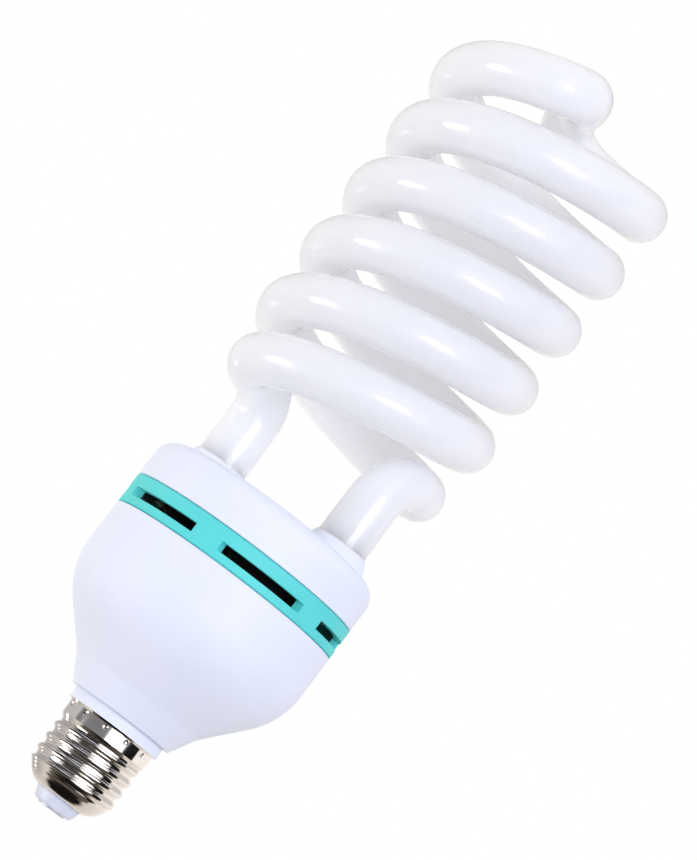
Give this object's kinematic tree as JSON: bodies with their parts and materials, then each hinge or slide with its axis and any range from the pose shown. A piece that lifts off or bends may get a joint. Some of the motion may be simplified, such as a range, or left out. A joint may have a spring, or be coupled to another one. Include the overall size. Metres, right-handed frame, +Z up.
{
  "type": "spiral compact fluorescent lamp",
  "caption": "Spiral compact fluorescent studio lamp: white double-helix glass tube on a white ballast housing with a teal vented ring and a screw base.",
  "frame": {"origin": "centre of the centre contact's face, on the lamp's axis", "axes": "+Z up the lamp's axis from the contact to the spiral's top, -Y the side the picture shows, X across the two legs"},
  "size_m": [0.0764, 0.0764, 0.2452],
  "materials": {
    "phosphor_glass": "gloss",
    "white_plastic": "satin",
    "teal_plastic": "satin",
    "nickel_plate": "polished",
    "white_insulator": "matte",
    "contact_metal": "polished",
    "silicone": "matte",
    "board_laminate": "matte",
    "can_sleeve": "gloss",
    "ferrite": "matte",
    "bobbin_plastic": "matte",
    "enamelled_copper": "gloss",
    "black_epoxy": "matte",
    "film_case": "gloss",
    "resistor_body": "matte",
    "fuse_body": "matte",
    "thermistor_body": "matte",
    "tinned_wire": "satin",
    "red_sleeve": "matte",
    "black_sleeve": "matte"
  },
  "bodies": {
    "root": {"spiral_tube": "phosphor_glass", "tube_cover": "white_plastic", "vent_ring": "teal_plastic", "lower_housing": "white_plastic", "screw_shell": "nickel_plate", "base_insulator": "white_insulator", "centre_contact": "contact_metal", "tube_cement": "silicone", "circuit_board": "board_laminate", "electrolytic_capacitor": "can_sleeve", "choke_core": "ferrite", "choke_bobbin": "bobbin_plastic", "choke_winding": "enamelled_copper", "drive_toroid": "ferrite", "toroid_winding": "enamelled_copper", "switching_transistors": "black_epoxy", "film_capacitors": "film_case", "rectifier_diodes": "black_epoxy", "resistors": "resistor_body", "filter_choke_core": "ferrite", "filter_choke_winding": "enamelled_copper", "fuse": "fuse_body", "preheat_thermistor": "thermistor_body", "wire_posts": "tinned_wire", "filament_leads": "tinned_wire", "phase_wire": "red_sleeve", "neutral_wire": "black_sleeve"}
  },
  "joints": []
}
